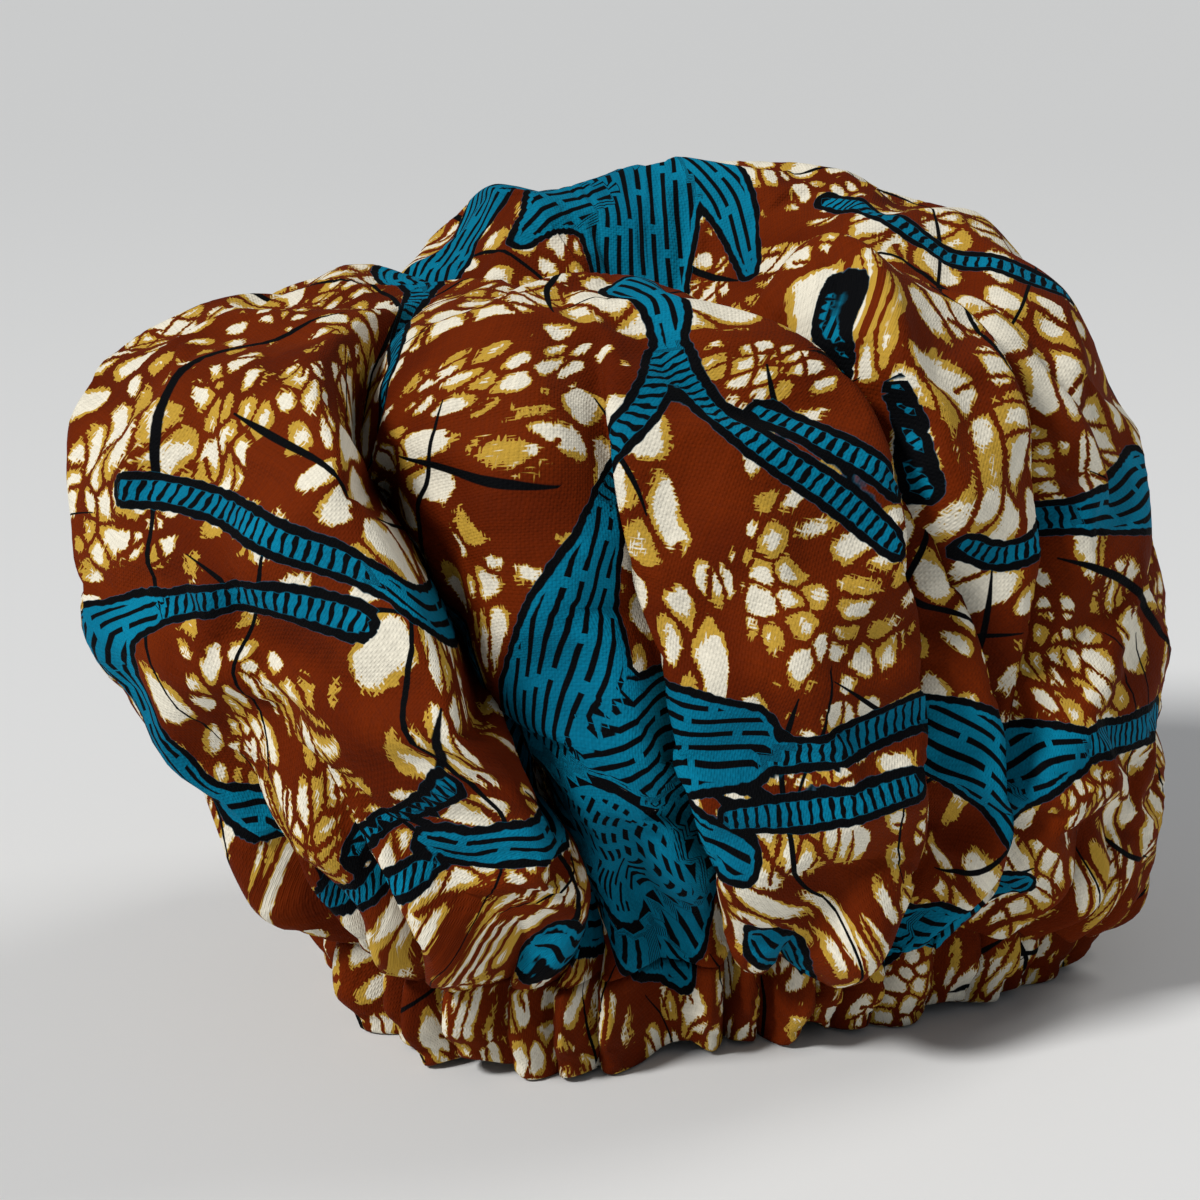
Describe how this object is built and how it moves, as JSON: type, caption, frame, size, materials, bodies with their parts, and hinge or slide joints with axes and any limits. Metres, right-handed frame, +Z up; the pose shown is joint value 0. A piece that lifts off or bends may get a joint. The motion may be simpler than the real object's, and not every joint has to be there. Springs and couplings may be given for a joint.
{
  "type": "hair bonnet",
  "caption": "Puffed hair bonnet of printed cotton with deep soft folds, gathered on an elastic in a ruffled hem casing, standing on its hem.",
  "frame": {"origin": "on the surface that the hem stands on, under the middle of the bonnet's box", "axes": "+Z up out of the hollow on top, +Y to the back, +X to the right as seen from the front"},
  "size_m": [0.2954, 0.2324, 0.2196],
  "materials": {
    "printed_cotton": "plain woven cotton with a glazed wax print in brown, cream, ochre, teal and black",
    "printed_cotton_hem": "the same printed cotton, turned up and gathered",
    "woven_elastic": "flat white woven elastic"
  },
  "bodies": {
    "root": {"crown": "printed_cotton", "hem_casing": "printed_cotton_hem", "elastic_band": "woven_elastic"}
  },
  "joints": []
}
